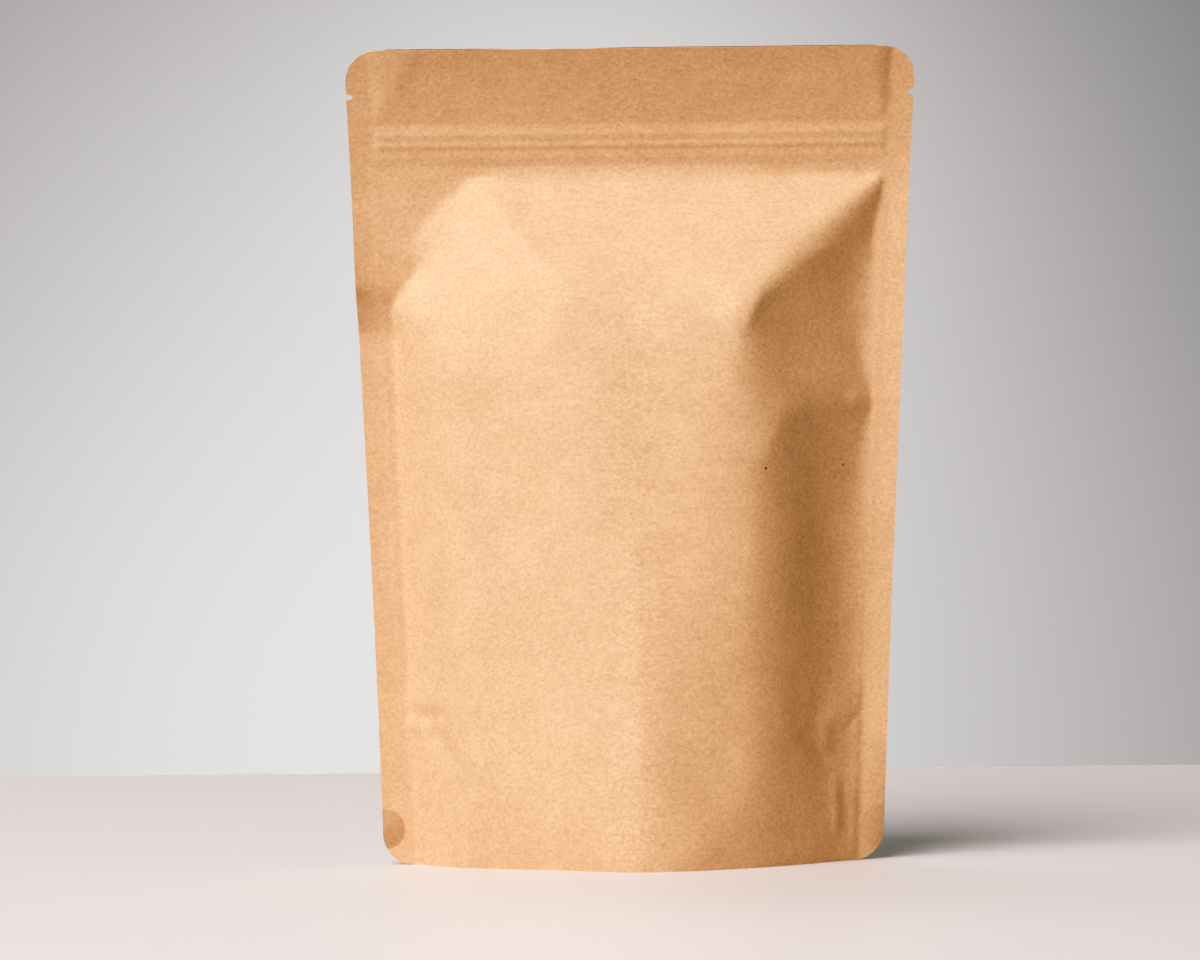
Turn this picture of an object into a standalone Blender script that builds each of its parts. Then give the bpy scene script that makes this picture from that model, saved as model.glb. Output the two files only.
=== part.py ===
"""Kraft paper stand-up pouch: one filled, shut bag standing on its bottom gusset.

The bag is a single closed body. Its front (-Y) and back (+Y) panels are sheets whose depth from
the seal plane is worked out from a crown (the side profile of the filled bag) cut down by flat
facets, as folded paper is. A second pair of sheets, inside the first, cuts away the hollow under
the bottom gusset, and two small cutters make the tear notches.

Every size below is in millimetres. Points are scaled to metres as the meshes are made.
"""

from dataclasses import dataclass

import bmesh
import bpy
import numpy as np

MM = 0.001

# Driving dimensions of the bag.
HEIGHT = 255.7
TOP_HALF_WIDTH = 89.4
BASE_HALF_WIDTH = 78.7
WAIST = 1.0
SHOULDER_FULLNESS = 0.5
SIDE_SEAL = 7.5
SEAL_THICKNESS = 0.8
TOP_CORNER_RADIUS = 10.0
FOOT_CORNER_RADIUS = 9.5

# The zipper: a flange fused inside the panels, with one raised profile along its middle.
ZIPPER_TOP = HEIGHT - 24.3
ZIPPER_FOOT = HEIGHT - 33.7
ZIPPER_BODY = 0.5
PROFILE_DROP = 30.5
PROFILE_HALF_WIDTH = 2.0
PROFILE_RISE = 0.4
ZIPPER_FADE = 3.0
BELLY_BLEND = 3.0

# The head of the bag curls forward from below the zipper up.
CURL_FOOT = HEIGHT - 43.0
CURL_FORWARD = 9.7
CURL_POWER = 1.5

# Tear notches, and the bottom gusset folded up between the panels.
NOTCH_DROP = 14.4
NOTCH_CUTTER_LENGTH = 40.0
NOTCH_DEPTH = 2.1
NOTCH_HALF_HEIGHT = 1.0
GUSSET_FOLD = 45.0
GUSSET_CLEARANCE = 1.5
GUSSET_POWER = 3.0
SKIRT_THICKNESS = 1.0
GUSSET_REACH = 0.93
GUSSET_CUT_BELOW = 4.0
THINNEST_SLIT = 0.3

# How finely the sheets are divided.
BODY_COLUMNS = 20
SEAL_COLUMNS = 2
CORNER_ROWS = 3
BODY_ROWS = 36
ZIPPER_ROWS = 8
HEADER_ROWS = 3
GUSSET_COLUMNS = 24
GUSSET_ROWS = 4

KRAFT_COLOUR = (0.60, 0.36, 0.18, 1.0)


@dataclass(frozen=True)
class Facet:
    """A flat face of the folded panel: its depth at one point, and its slopes from there.

    It rounds into its neighbours over a width that is given at one or more heights.
    """

    x: float
    z: float
    depth: float
    rise_x: float
    rise_z: float
    soft_heights: tuple = (0.0,)
    soft_widths: tuple = (5.0,)

    def depth_at(self, x, z):
        """Depth of the facet's plane from the seal plane."""
        return self.depth + self.rise_x * (x - self.x) + self.rise_z * (z - self.z)

    def softness_at(self, z):
        """Width over which the facet rounds into its neighbours."""
        return np.interp(z, self.soft_heights, self.soft_widths)


@dataclass(frozen=True)
class Hollow:
    """Facets that meet in hollow folds: the one that stands furthest out is the surface."""

    facets: tuple
    fold: float
    soft_heights: tuple
    soft_widths: tuple

    def depth_at(self, x, z):
        """Depth of the outermost facet, rounded along the folds."""
        depth = self.facets[0].depth_at(x, z)
        for facet in self.facets[1:]:
            depth = smooth_max(depth, facet.depth_at(x, z), self.fold)
        return depth

    def softness_at(self, z):
        """Width over which the hollow rounds into its neighbours."""
        return np.interp(z, self.soft_heights, self.soft_widths)


@dataclass(frozen=True)
class Fold:
    """A broad soft ridge along a straight line in the paper, or a dent if its rise is below 0."""

    start: tuple
    end: tuple
    rise: float
    width: float

    def rise_at(self, x, z):
        """How far the fold lifts the paper; it dies out over its width, past its ends too."""
        run_x = self.end[0] - self.start[0]
        run_z = self.end[1] - self.start[1]
        along = (x - self.start[0]) * run_x + (z - self.start[1]) * run_z
        share = np.clip(along / (run_x**2 + run_z**2), 0.0, 1.0)
        distance = np.hypot(x - self.start[0] - share * run_x, z - self.start[1] - share * run_z)
        return self.rise * np.exp(-((distance / self.width) ** 2))


@dataclass(frozen=True)
class EdgeBend:
    """A gentle forward bend of the whole bag towards one side edge: side -1 is left, 1 is right.

    It starts at its width in from the edge, and its reach forward there is given at some heights.
    """

    side: float
    width: float
    heights: tuple
    forward: tuple

    def forward_at(self, x, z):
        """How far the bend brings the bag forward."""
        share = np.clip(1.0 - (half_width(z) - self.side * x) / self.width, 0.0, 1.0)
        return np.interp(z, self.heights, self.forward) * share**2


@dataclass(frozen=True)
class Panel:
    """One side of the bag: the profile of its belly, the facets that cut it, and its folds."""

    shoulder_slope: float
    shoulder_top: float
    shoulder_soft: float
    belly: float
    belly_height: float
    belly_lean: float
    tuck: float
    toe: float
    facets: tuple
    folds: tuple = ()


FRONT = Panel(
    shoulder_slope=0.62,
    shoulder_top=218.2,
    shoulder_soft=7.5,
    belly=36.4,
    belly_height=40.0,
    belly_lean=0.072,
    tuck=0.0,
    toe=1.4,
    facets=(
        # Left shoulder, left flank, cheek and heel, and the broad face left of the middle ridge.
        Facet(-49.5, 216.2, 0.5, 0.41, -0.315, (150.0, 175.0), (3.5, 1.0)),
        Facet(-75.4, 160.0, 0.0, 1.10, 0.04, (0.0,), (4.0,)),
        Facet(-36.0, 135.0, 30.0, 0.54, -0.035, (0.0,), (3.0,)),
        Facet(-50.0, 20.0, 19.5, 0.41, 0.15, (0.0,), (2.0,)),
        Facet(0.0, 0.0, 37.3, 0.30, -0.04, (30.0, 150.0), (1.5, 7.0)),
        # Face right of the middle ridge, and the heel above the right foot corner.
        Facet(2.0, 0.0, 38.5, -0.31, 0.005, (0.0,), (5.5,)),
        Facet(36.0, 20.0, 33.2, -0.52, 0.24, (0.0,), (6.5,)),
        # Right flank, its hem along the seal, and the overhang at its head.
        Hollow(
            facets=(
                Facet(69.5, 100.0, -4.8, -1.26, 0.0),
                Facet(73.5, 100.0, -1.0, -0.43, 0.0),
                Facet(75.5, 140.0, 0.0, -0.78, 0.355),
            ),
            fold=7.0,
            soft_heights=(0.0, 80.0, 125.0, 138.0),
            soft_widths=(15.6, 11.4, 8.0, 1.8),
        ),
        # Right shoulder, dented between two facets.
        Hollow(
            facets=(
                Facet(79.8, 216.8, 1.1, -0.73, 0.20),
                Facet(39.0, 171.0, 23.4, -0.74, -0.17),
            ),
            fold=6.3,
            soft_heights=(130.0, 168.0, 176.0, 195.0, 214.0),
            soft_widths=(9.7, 3.0, 2.0, 7.0, 2.0),
        ),
    ),
    folds=(
        # Dents and ridges beside the left shoulder, and down the middle of the panel.
        Fold((-77.6, 182.0), (-69.5, 186.0), -2.3, 6.0),
        Fold((-49.0, 141.0), (-37.0, 108.5), -1.1, 9.0),
        Fold((31.5, 175.5), (41.0, 130.0), 0.8, 8.5),
        Fold((0.0, 170.0), (13.0, 99.0), -1.2, 12.0),
        # Swelling beside the right seal, and the crumpled paper above both foot corners.
        Fold((79.0, 188.5), (76.0, 172.0), 2.3, 5.7),
        Fold((-73.0, 44.5), (-64.5, 51.0), 1.5, 8.0),
        Fold((-19.0, 39.0), (-6.5, 1.5), 0.9, 11.5),
        Fold((4.3, 32.0), (18.0, 6.0), 1.8, 11.5),
        Fold((58.0, 46.5), (63.0, 30.0), -1.0, 6.0),
        Fold((64.0, 44.0), (65.0, 49.0), 1.2, 7.5),
        Fold((60.5, 28.5), (59.0, 2.0), 1.4, 8.0),
    ),
)

BACK = Panel(
    shoulder_slope=0.50,
    shoulder_top=219.0,
    shoulder_soft=14.0,
    belly=36.0,
    belly_height=40.0,
    belly_lean=0.085,
    tuck=1.5,
    toe=1.4,
    facets=(
        # Shoulders, flanks, cheeks and heels, with +X still to the right of the front.
        Facet(58.0, 215.0, 0.0, -0.40, -0.24, (150.0, 216.0), (7.0, 2.0)),
        Hollow(
            facets=(
                Facet(-79.0, 216.0, 0.0, 0.62, 0.20),
                Facet(-44.0, 172.0, 20.0, 0.58, -0.15),
            ),
            fold=4.0,
            soft_heights=(140.0, 172.0, 195.0, 214.0),
            soft_widths=(10.0, 3.0, 9.0, 2.0),
        ),
        Facet(74.5, 120.0, 0.0, -0.72, 0.0, (0.0,), (9.0,)),
        Facet(-74.0, 120.0, 0.0, 0.80, 0.0, (0.0,), (12.0,)),
        Facet(-7.0, 0.0, 36.2, -0.22, 0.02, (30.0, 150.0), (4.0, 9.0)),
        Facet(-7.0, 0.0, 36.2, 0.30, 0.02, (30.0, 150.0), (4.0, 9.0)),
        Facet(32.0, 0.0, 28.5, -0.62, 0.15),
        Facet(-34.0, 0.0, 28.0, 0.60, 0.15),
    ),
)


# The left side bends forward above the middle, and the right foot corner curls back.
BENDS = (
    EdgeBend(-1.0, 40.0, (90.0, 170.0, 213.0, 256.0), (0.0, 3.5, 3.5, 0.5)),
    EdgeBend(-1.0, 10.0, (0.0,), (0.5,)),
    EdgeBend(1.0, 12.0, (0.0, 12.0, 32.0, 50.0, 150.0, 256.0), (-2.2, -1.7, -0.5, 0.5, 0.6, 1.0)),
)


def smooth_min(first, second, width):
    """Lesser of two depths, rounded where they come within the width of each other."""
    share = np.clip(0.5 + 0.5 * (second - first) / width, 0.0, 1.0)
    return second + (first - second) * share - width * share * (1.0 - share)


def smooth_max(first, second, width):
    """Greater of two depths, rounded in the same way."""
    return -smooth_min(-first, -second, width)


def ease(share):
    """Smooth step from 0 to 1."""
    share = np.clip(share, 0.0, 1.0)
    return share * share * (3.0 - 2.0 * share)


def corner_inset(distance, radius):
    """How far a rounded corner pulls the side edge in, at a distance from its end."""
    reach = np.clip(radius - distance, 0.0, radius)
    return radius - np.sqrt(radius**2 - reach**2)


def half_width(z):
    """Half the bag's width: the fuller belly below draws the side seals in, the shoulders less."""
    share = np.clip(z / HEIGHT, 0.0, 1.0)
    taper = (TOP_HALF_WIDTH - BASE_HALF_WIDTH) * share
    fuller = SHOULDER_FULLNESS * share - WAIST * (1.0 - share)
    return BASE_HALF_WIDTH + taper + fuller * np.sin(np.pi * share)


def edge_half_width(z):
    """Half the width with the rounded corners cut."""
    return half_width(z) - corner_inset(HEIGHT - z, TOP_CORNER_RADIUS) - corner_inset(z, FOOT_CORNER_RADIUS)


def crown_depth(panel, z):
    """Side profile of the filled panel, before its facets."""
    shoulder = panel.shoulder_slope * (panel.shoulder_top - z)
    belly = panel.belly - panel.belly_lean * (z - panel.belly_height)
    tucked = panel.tuck * np.clip(1.0 - z / panel.belly_height, 0.0, 1.0) ** 2
    return smooth_min(shoulder, belly, panel.shoulder_soft) - tucked


def inside_seal(x, z, blend):
    """1 on the panel, falling to 0 at the side seals over the blend."""
    return ease((half_width(z) - SIDE_SEAL - np.abs(x)) / blend)


def belly_depth(panel, x, z):
    """Depth of the filled panel, zero where its plies lie flat together."""
    depth = crown_depth(panel, z)
    for facet in panel.facets:
        depth = smooth_min(depth, facet.depth_at(x, z), facet.softness_at(z))
    for fold in panel.folds:
        depth = depth + fold.rise_at(x, z)
    below_zipper = ease((ZIPPER_FOOT + ZIPPER_FADE / 2 - z) / ZIPPER_FADE)
    return smooth_max(depth, 0.0 * depth, panel.toe) * inside_seal(x, z, BELLY_BLEND) * below_zipper


def zipper_relief(x, z):
    """Thickness that the zipper's flange and profile add to each panel."""
    flange = ease((z - ZIPPER_FOOT) / 2.0) * ease((ZIPPER_TOP + 1.0 - z) / 2.0)
    profile = np.clip(1.0 - ((HEIGHT - PROFILE_DROP - z) / PROFILE_HALF_WIDTH) ** 2, 0.0, 1.0)
    return (ZIPPER_BODY * flange + PROFILE_RISE * profile) * inside_seal(x, z, 3.0)


def forward_curve(x, z):
    """How far both panels together curve forward, at the head of the bag and at its side edges."""
    share = np.clip((z - CURL_FOOT) / (HEIGHT - CURL_FOOT), 0.0, 1.0)
    return CURL_FORWARD * share**CURL_POWER + sum(bend.forward_at(x, z) for bend in BENDS)


def front_y(x, z):
    """Y of the front panel's outer face."""
    out = SEAL_THICKNESS / 2 + belly_depth(FRONT, x, z) + zipper_relief(x, z)
    return -out - forward_curve(x, z)


def back_y(x, z):
    """Y of the back panel's outer face."""
    out = SEAL_THICKNESS / 2 + belly_depth(BACK, x, z) + zipper_relief(x, z)
    return out - forward_curve(x, z)


def gusset_height(x):
    """Height of the gusset above the table: low in the middle, folded up towards the side seals."""
    share = np.clip(np.abs(x) / (half_width(GUSSET_FOLD) - SIDE_SEAL), 0.0, 1.0)
    return GUSSET_CLEARANCE + (GUSSET_FOLD - GUSSET_CLEARANCE) * share**GUSSET_POWER


def row_heights():
    """Heights of the panel's rows, close together round the corners and over the zipper."""
    turn = np.linspace(0.0, np.pi / 2, CORNER_ROWS + 1)
    foot = FOOT_CORNER_RADIUS * (1.0 - np.cos(turn))
    body = np.linspace(FOOT_CORNER_RADIUS, ZIPPER_FOOT, BODY_ROWS + 1)
    zipper = np.linspace(ZIPPER_FOOT, ZIPPER_TOP + 1.0, ZIPPER_ROWS + 1)
    header = np.linspace(ZIPPER_TOP + 1.0, HEIGHT - TOP_CORNER_RADIUS, HEADER_ROWS + 1)
    head = HEIGHT - TOP_CORNER_RADIUS * (1.0 - np.sin(turn))
    return np.concatenate([foot[:-1], body[:-1], zipper[:-1], header[:-1], head])


def column_shares():
    """Places of the panel's columns as shares of the half width, with one on the seal's edge."""
    seal_share = 1.0 - SIDE_SEAL / half_width(HEIGHT / 2)
    body = np.linspace(0.0, seal_share, BODY_COLUMNS + 1)
    seal = np.linspace(seal_share, 1.0, SEAL_COLUMNS + 1)
    half = np.concatenate([body[:-1], seal])
    return np.concatenate([-half[:0:-1], half])


def add_sheet(mesh, columns, rows, place):
    """Add a grid to the bmesh and move each of its points to place(column, row), in millimetres."""
    grid = bmesh.ops.create_grid(mesh, x_segments=columns, y_segments=rows, size=1.0)
    for vertex in grid["verts"]:
        column = round((vertex.co.x + 1.0) / 2.0 * columns)
        row = round((vertex.co.y + 1.0) / 2.0 * rows)
        vertex.co = [size * MM for size in place(column, row)]
    return grid["verts"]


def boundary_edges(vertices):
    """Open edges round a sheet."""
    edges = {edge for vertex in vertices for edge in vertex.link_edges}
    return [edge for edge in edges if edge.is_boundary]


def closed_body(name, columns, rows, front_place, back_place):
    """Make a closed mesh object from a front and a back sheet joined all round their rims."""
    mesh = bmesh.new()
    front = add_sheet(mesh, columns, rows, front_place)
    back = add_sheet(mesh, columns, rows, back_place)
    rims = boundary_edges(front) + boundary_edges(back)
    bmesh.ops.bridge_loops(mesh, edges=rims)
    bmesh.ops.recalc_face_normals(mesh, faces=mesh.faces)
    data = bpy.data.meshes.new(name)
    mesh.to_mesh(data)
    mesh.free()
    return bpy.data.objects.new(name, data)


def pouch_body(centre):
    """The filled bag before its cuts."""
    heights = row_heights()
    shares = column_shares()

    def front_place(column, row):
        z = heights[row]
        x = shares[column] * edge_half_width(z)
        return x, front_y(x, z) - centre, z

    def back_place(column, row):
        z = heights[row]
        x = shares[column] * edge_half_width(z)
        return x, back_y(x, z) - centre, z

    return closed_body("pouch", len(shares) - 1, len(heights) - 1, front_place, back_place)


def gusset_cutter(centre):
    """The hollow under the gusset, inside the front and back skirts."""
    reach = GUSSET_REACH * (BASE_HALF_WIDTH - SIDE_SEAL)

    def point(column, row, outer_y, inward):
        x = reach * (2.0 * column / GUSSET_COLUMNS - 1.0)
        top = gusset_height(x)
        z = top - (top + GUSSET_CUT_BELOW) * (1.0 - row / GUSSET_ROWS)
        y = outer_y(x, max(z, 0.0))
        middle = (front_y(x, top) + back_y(x, top)) / 2
        inner = max(abs(y - middle) - SKIRT_THICKNESS, THINNEST_SLIT)
        return x, middle - inward * inner - centre, z

    def front_place(column, row):
        return point(column, row, front_y, 1.0)

    def back_place(column, row):
        return point(column, row, back_y, -1.0)

    return closed_body("gusset_hollow", GUSSET_COLUMNS, GUSSET_ROWS, front_place, back_place)


def notch_cutter(name, side):
    """A tear notch: an oval through the side seal, half of it outside the edge."""
    z = HEIGHT - NOTCH_DROP
    length = NOTCH_CUTTER_LENGTH * MM
    bpy.ops.mesh.primitive_cylinder_add(vertices=20, radius=NOTCH_HALF_HEIGHT * MM, depth=length)
    cutter = bpy.context.object
    cutter.name = name
    cutter.rotation_euler = (np.pi / 2, 0.0, 0.0)
    cutter.scale = (NOTCH_DEPTH / NOTCH_HALF_HEIGHT, 1.0, 1.0)
    cutter.location = (side * half_width(z) * MM, 0.0, z * MM)
    bpy.ops.object.transform_apply(location=False, rotation=False, scale=True)
    return cutter


def kraft_paper():
    """Plain brown kraft paper."""
    material = bpy.data.materials.new("kraft_paper")
    material.use_nodes = True
    shader = material.node_tree.nodes["Principled BSDF"]
    shader.inputs["Base Color"].default_value = KRAFT_COLOUR
    shader.inputs["Roughness"].default_value = 0.7
    shader.inputs["Metallic"].default_value = 0.0
    return material


def cut(body, cutter):
    """Cut a cutter out of the body, and show the cutter as a wire guide."""
    cutter.hide_render = True
    cutter.display_type = "WIRE"
    boolean = body.modifiers.new(cutter.name, "BOOLEAN")
    boolean.operation = "DIFFERENCE"
    boolean.solver = "EXACT"
    boolean.object = cutter


def move_to(collection, thing):
    """Keep an object in one collection only."""
    for other in list(thing.users_collection):
        other.objects.unlink(thing)
    collection.objects.link(thing)


def deepest(outer_y):
    """Furthest reach of a panel from the seal plane, over its rows and columns."""
    return max(
        abs(outer_y(share * edge_half_width(z), z))
        for z in row_heights()
        for share in column_shares()
    )


def build():
    """Make the pouch and its cutters."""
    for thing in list(bpy.data.objects):
        bpy.data.objects.remove(thing, do_unlink=True)
    parts = bpy.data.collections.new("stand_up_pouch")
    cutters = bpy.data.collections.new("cutters")
    bpy.context.scene.collection.children.link(parts)
    bpy.context.scene.collection.children.link(cutters)

    # The origin lies midway between the bellies, so the front and back reach equally far.
    centre = (deepest(back_y) - deepest(front_y)) / 2
    body = pouch_body(centre)
    body.data.materials.append(kraft_paper())
    parts.objects.link(body)

    for cutter in (
        gusset_cutter(centre),
        notch_cutter("notch_left", -1.0),
        notch_cutter("notch_right", 1.0),
    ):
        move_to(cutters, cutter)
        cut(body, cutter)
    body.data.shade_smooth()
    body.data.set_sharp_from_angle(angle=np.radians(35.0))


build()
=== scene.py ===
"""Looks of the kraft paper stand-up pouch: its folded panels, its gusset and a plain stage.

The bag is three thin pieces, as the real one is: a front panel, a back panel and a bottom gusset
folded up between them. Each is a grid whose points are placed by functions of the bag's own sizes,
made a sheet by Solidify, with kraft paper outside and a foil liner inside.

Lengths in this file are in millimetres unless a name says otherwise. Points are scaled to metres
as the meshes are made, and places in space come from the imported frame.
"""

import logging
import math
from collections.abc import Callable
from dataclasses import dataclass
from enum import Enum

import bpy
import numpy as np
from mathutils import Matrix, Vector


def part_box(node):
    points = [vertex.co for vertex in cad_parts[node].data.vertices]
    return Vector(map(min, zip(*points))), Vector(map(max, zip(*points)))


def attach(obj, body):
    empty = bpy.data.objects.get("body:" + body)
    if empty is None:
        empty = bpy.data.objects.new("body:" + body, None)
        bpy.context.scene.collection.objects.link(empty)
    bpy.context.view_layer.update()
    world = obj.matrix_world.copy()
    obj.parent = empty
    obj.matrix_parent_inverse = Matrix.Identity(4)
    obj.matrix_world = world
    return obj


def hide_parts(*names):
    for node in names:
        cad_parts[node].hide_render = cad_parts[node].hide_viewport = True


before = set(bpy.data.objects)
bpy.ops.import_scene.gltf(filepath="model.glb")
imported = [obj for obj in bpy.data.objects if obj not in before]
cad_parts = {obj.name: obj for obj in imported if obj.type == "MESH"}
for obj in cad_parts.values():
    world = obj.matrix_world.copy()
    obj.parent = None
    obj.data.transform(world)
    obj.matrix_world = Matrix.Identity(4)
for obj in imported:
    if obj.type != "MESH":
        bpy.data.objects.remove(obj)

logging.basicConfig(level=logging.INFO, format="%(levelname)s %(message)s")
LOG = logging.getLogger("stand_up_pouch")

Array = np.ndarray
Points = tuple[Array, Array, Array]
Pair = tuple[float, float]
Floats = tuple[float, ...]
Triple = tuple[float, float, float]
Material = bpy.types.Material
Object = bpy.types.Object
Socket = bpy.types.NodeSocket

MM = 0.001
NODE = "pouch"

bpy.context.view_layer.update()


# ---- Small functions on arrays ----


def smooth_min(first: Array, second: Array, width: Array | float) -> Array:
    """Return the lesser of two depths, rounded where they come within a width of each other.

    Args:
        first: One depth, in millimetres.
        second: The other depth.
        width: How near they come before they blend.

    Returns:
        The blended depth.
    """
    share = np.clip(0.5 + 0.5 * (second - first) / width, 0.0, 1.0)
    return second + (first - second) * share - width * share * (1.0 - share)


def smooth_max(first: Array, second: Array, width: Array | float) -> Array:
    """Return the greater of two depths, rounded in the same way as smooth_min."""
    return -smooth_min(-first, -second, width)


def ease(share: Array | float) -> Array:
    """Return a smooth step from 0 to 1."""
    share = np.clip(share, 0.0, 1.0)
    return share * share * (3.0 - 2.0 * share)


def spaced(start: float, end: float, step: float) -> Array:
    """Return even stations from start up to, but without, end, no further apart than step."""
    return np.linspace(start, end, max(1, math.ceil(abs(end - start) / step)) + 1)[:-1]


# ---- Sizes of the bag ----


@dataclass(frozen=True)
class BagSizes:
    """Flat sizes of the bag: its outline, seals, zipper, mouth, notches and gusset.

    The zipper's lifts are given at drops below the top. At one place, mouth_touch_x, the two plies
    of the mouth nearly touch.
    """

    height: float
    top_half_width: float
    base_half_width: float = 78.7
    waist: float = 1.0
    shoulder_fullness: float = 0.5
    side_seal: float = 7.5
    top_corner_radius: float = 10.0
    foot_corner_radius: float = 9.5
    ply: float = 0.22
    back_stands_higher: float = 0.55
    zipper_top_drop: float = 24.3
    zipper_foot_drop: float = 33.7
    zipper_drops: Floats = (23.0, 26.4, 28.3, 29.4, 29.9, 31.1, 33.4, 36.0)
    zipper_lifts: Floats = (0.0, 0.55, 0.42, 0.55, 0.55, 0.31, 0.29, 0.0)
    curl_foot_drop: float = 52.0
    curl_forward: float = 14.0
    curl_power: float = 1.8
    mouth_bulge: float = 1.8
    mouth_blend: float = 9.5
    mouth_run: float = 24.0
    mouth_touch_x: float = -25.0
    mouth_touch_width: float = 14.0
    mouth_touch: float = 0.75
    top_lift_blend: float = 4.0
    notch_drop: float = 14.4
    notch_depth: float = 2.1
    notch_half_height: float = 1.0
    sideways: float = 1.3
    gusset_fold: float = 45.0
    gusset_clearance: float = 1.5
    gusset_power: float = 3.0

    @classmethod
    def from_frame(cls) -> "BagSizes":
        """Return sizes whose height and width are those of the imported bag."""
        low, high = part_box(NODE)
        rounded_off = 0.36
        return cls(height=high[2] / MM, top_half_width=(high[0] - low[0]) / 2 / MM + rounded_off)

    @property
    def zipper_top(self) -> float:
        """Height of the zipper band's upper edge."""
        return self.height - self.zipper_top_drop

    @property
    def zipper_foot(self) -> float:
        """Height of the zipper band's lower edge."""
        return self.height - self.zipper_foot_drop

    def half_width(self, z: Array) -> Array:
        """Return half the bag's width: the fuller belly below draws the side seals in."""
        share = np.clip(z / self.height, 0.0, 1.0)
        taper = (self.top_half_width - self.base_half_width) * share
        fuller = self.shoulder_fullness * share - self.waist * (1.0 - share)
        return self.base_half_width + taper + fuller * np.sin(np.pi * share)

    def corner_inset(self, z: Array, top: float) -> Array:
        """Return how far the rounded corners pull the side edge in."""
        inset = np.zeros_like(z)
        for distance, radius in ((top - z, self.top_corner_radius), (z, self.foot_corner_radius)):
            reach = np.clip(radius - distance, 0.0, radius)
            inset = inset + radius - np.sqrt(radius**2 - reach**2)
        return inset

    def notch_inset(self, z: Array) -> Array:
        """Return how deep the tear notches cut into the side edges."""
        off_notch = (self.height - self.notch_drop - z) / self.notch_half_height
        share = np.clip(1.0 - off_notch**2, 0.0, 1.0)
        return self.notch_depth * np.sqrt(share)

    def inside_seal(self, x: Array, z: Array, blend: float) -> Array:
        """Return 1 on the panel, falling to 0 at the side seals over the blend."""
        return ease((self.half_width(z) - self.side_seal - np.abs(x)) / blend)


# ---- Shape of a folded panel ----


@dataclass(frozen=True)
class Facet:
    """A flat face of the folded panel: its depth at one point, and its slopes from there.

    It rounds into its neighbours over a width that is given at one or more heights.
    """

    x: float
    z: float
    depth: float
    rise_x: float
    rise_z: float
    soft_heights: Floats = (0.0,)
    soft_widths: Floats = (5.0,)

    def depth_at(self, x: Array, z: Array) -> Array:
        """Return the depth of the facet's plane from the seal plane."""
        return self.depth + self.rise_x * (x - self.x) + self.rise_z * (z - self.z)


@dataclass(frozen=True)
class Hollow:
    """Facets that meet in hollow folds: the one that stands furthest out is the surface."""

    facets: tuple[Facet, ...]
    fold: float
    soft_heights: Floats
    soft_widths: Floats

    def depth_at(self, x: Array, z: Array) -> Array:
        """Return the depth of the outermost facet, rounded along the folds."""
        depth = self.facets[0].depth_at(x, z)
        for facet in self.facets[1:]:
            depth = smooth_max(depth, facet.depth_at(x, z), self.fold)
        return depth


class Profile(Enum):
    """Cross-section of a fold."""

    SOFT = "soft"
    SHARP = "sharp"


@dataclass(frozen=True)
class Fold:
    """A small fold in the paper along a straight line: a ridge where its rise is above 0.

    It dies out over its width past both ends. A sharp fold has a crease along its line.
    """

    start: Pair
    end: Pair
    rise: float
    width: float
    profile: Profile = Profile.SOFT

    def rise_at(self, x: Array, z: Array) -> Array:
        """Return how far the fold lifts the paper.

        Args:
            x: Places across the bag.
            z: Heights above the table.

        Returns:
            The lifts, which are below 0 along a valley.
        """
        run_x = self.end[0] - self.start[0]
        run_z = self.end[1] - self.start[1]
        length_squared = run_x**2 + run_z**2
        share = ((x - self.start[0]) * run_x + (z - self.start[1]) * run_z) / length_squared
        share = np.clip(share, 0.0, 1.0)
        off_x = x - self.start[0] - share * run_x
        off_z = z - self.start[1] - share * run_z
        distance = np.hypot(off_x, off_z) / self.width
        if self.profile is Profile.SHARP:
            crease_rounding = 0.15
            fall = 1.6
            distance = np.hypot(distance, crease_rounding) - crease_rounding
            return self.rise * np.exp(-fall * distance)
        return self.rise * np.exp(-(distance**2))


@dataclass(frozen=True)
class EdgeBend:
    """A gentle forward bend of the whole bag towards one side edge: -1 is left, 1 is right.

    It starts at its width in from the edge, and reaches forward there by an amount that is
    given at some heights.
    """

    side: float
    width: float
    heights: Floats
    forward: Floats

    def forward_at(self, sizes: BagSizes, x: Array, z: Array) -> Array:
        """Return how far the bend brings the bag forward."""
        farthest = 1.2
        from_edge = sizes.half_width(z) - self.side * x
        share = np.clip(1.0 - from_edge / self.width, 0.0, farthest)
        return np.interp(z, self.heights, self.forward) * share**2


@dataclass(frozen=True)
class SpotSeal:
    """A half-moon at a foot corner, where the panels are sealed through a hole in the gusset.

    The paper rises from its rim towards the side edge, and painted shade darkens its colour inside
    the rim.
    """

    side: float
    height: float
    radius: float
    rise: float
    # Painted shade: the factor by which the paper's colour is darkened inside the rim, standing in
    # for shade there.
    shade: float

    def middle(self, sizes: BagSizes) -> float:
        """Return x of the half-moon's middle, near the side edge."""
        inside_edge = 0.4
        return self.side * (sizes.base_half_width - inside_edge)

    def rise_at(self, sizes: BagSizes, x: Array, z: Array) -> Array:
        """Return how far the half-moon lifts the paper."""
        share = np.hypot(x - self.middle(sizes), z - self.height) / self.radius
        return self.rise * np.clip(1.0 - share, 0.0, 1.0)


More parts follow.
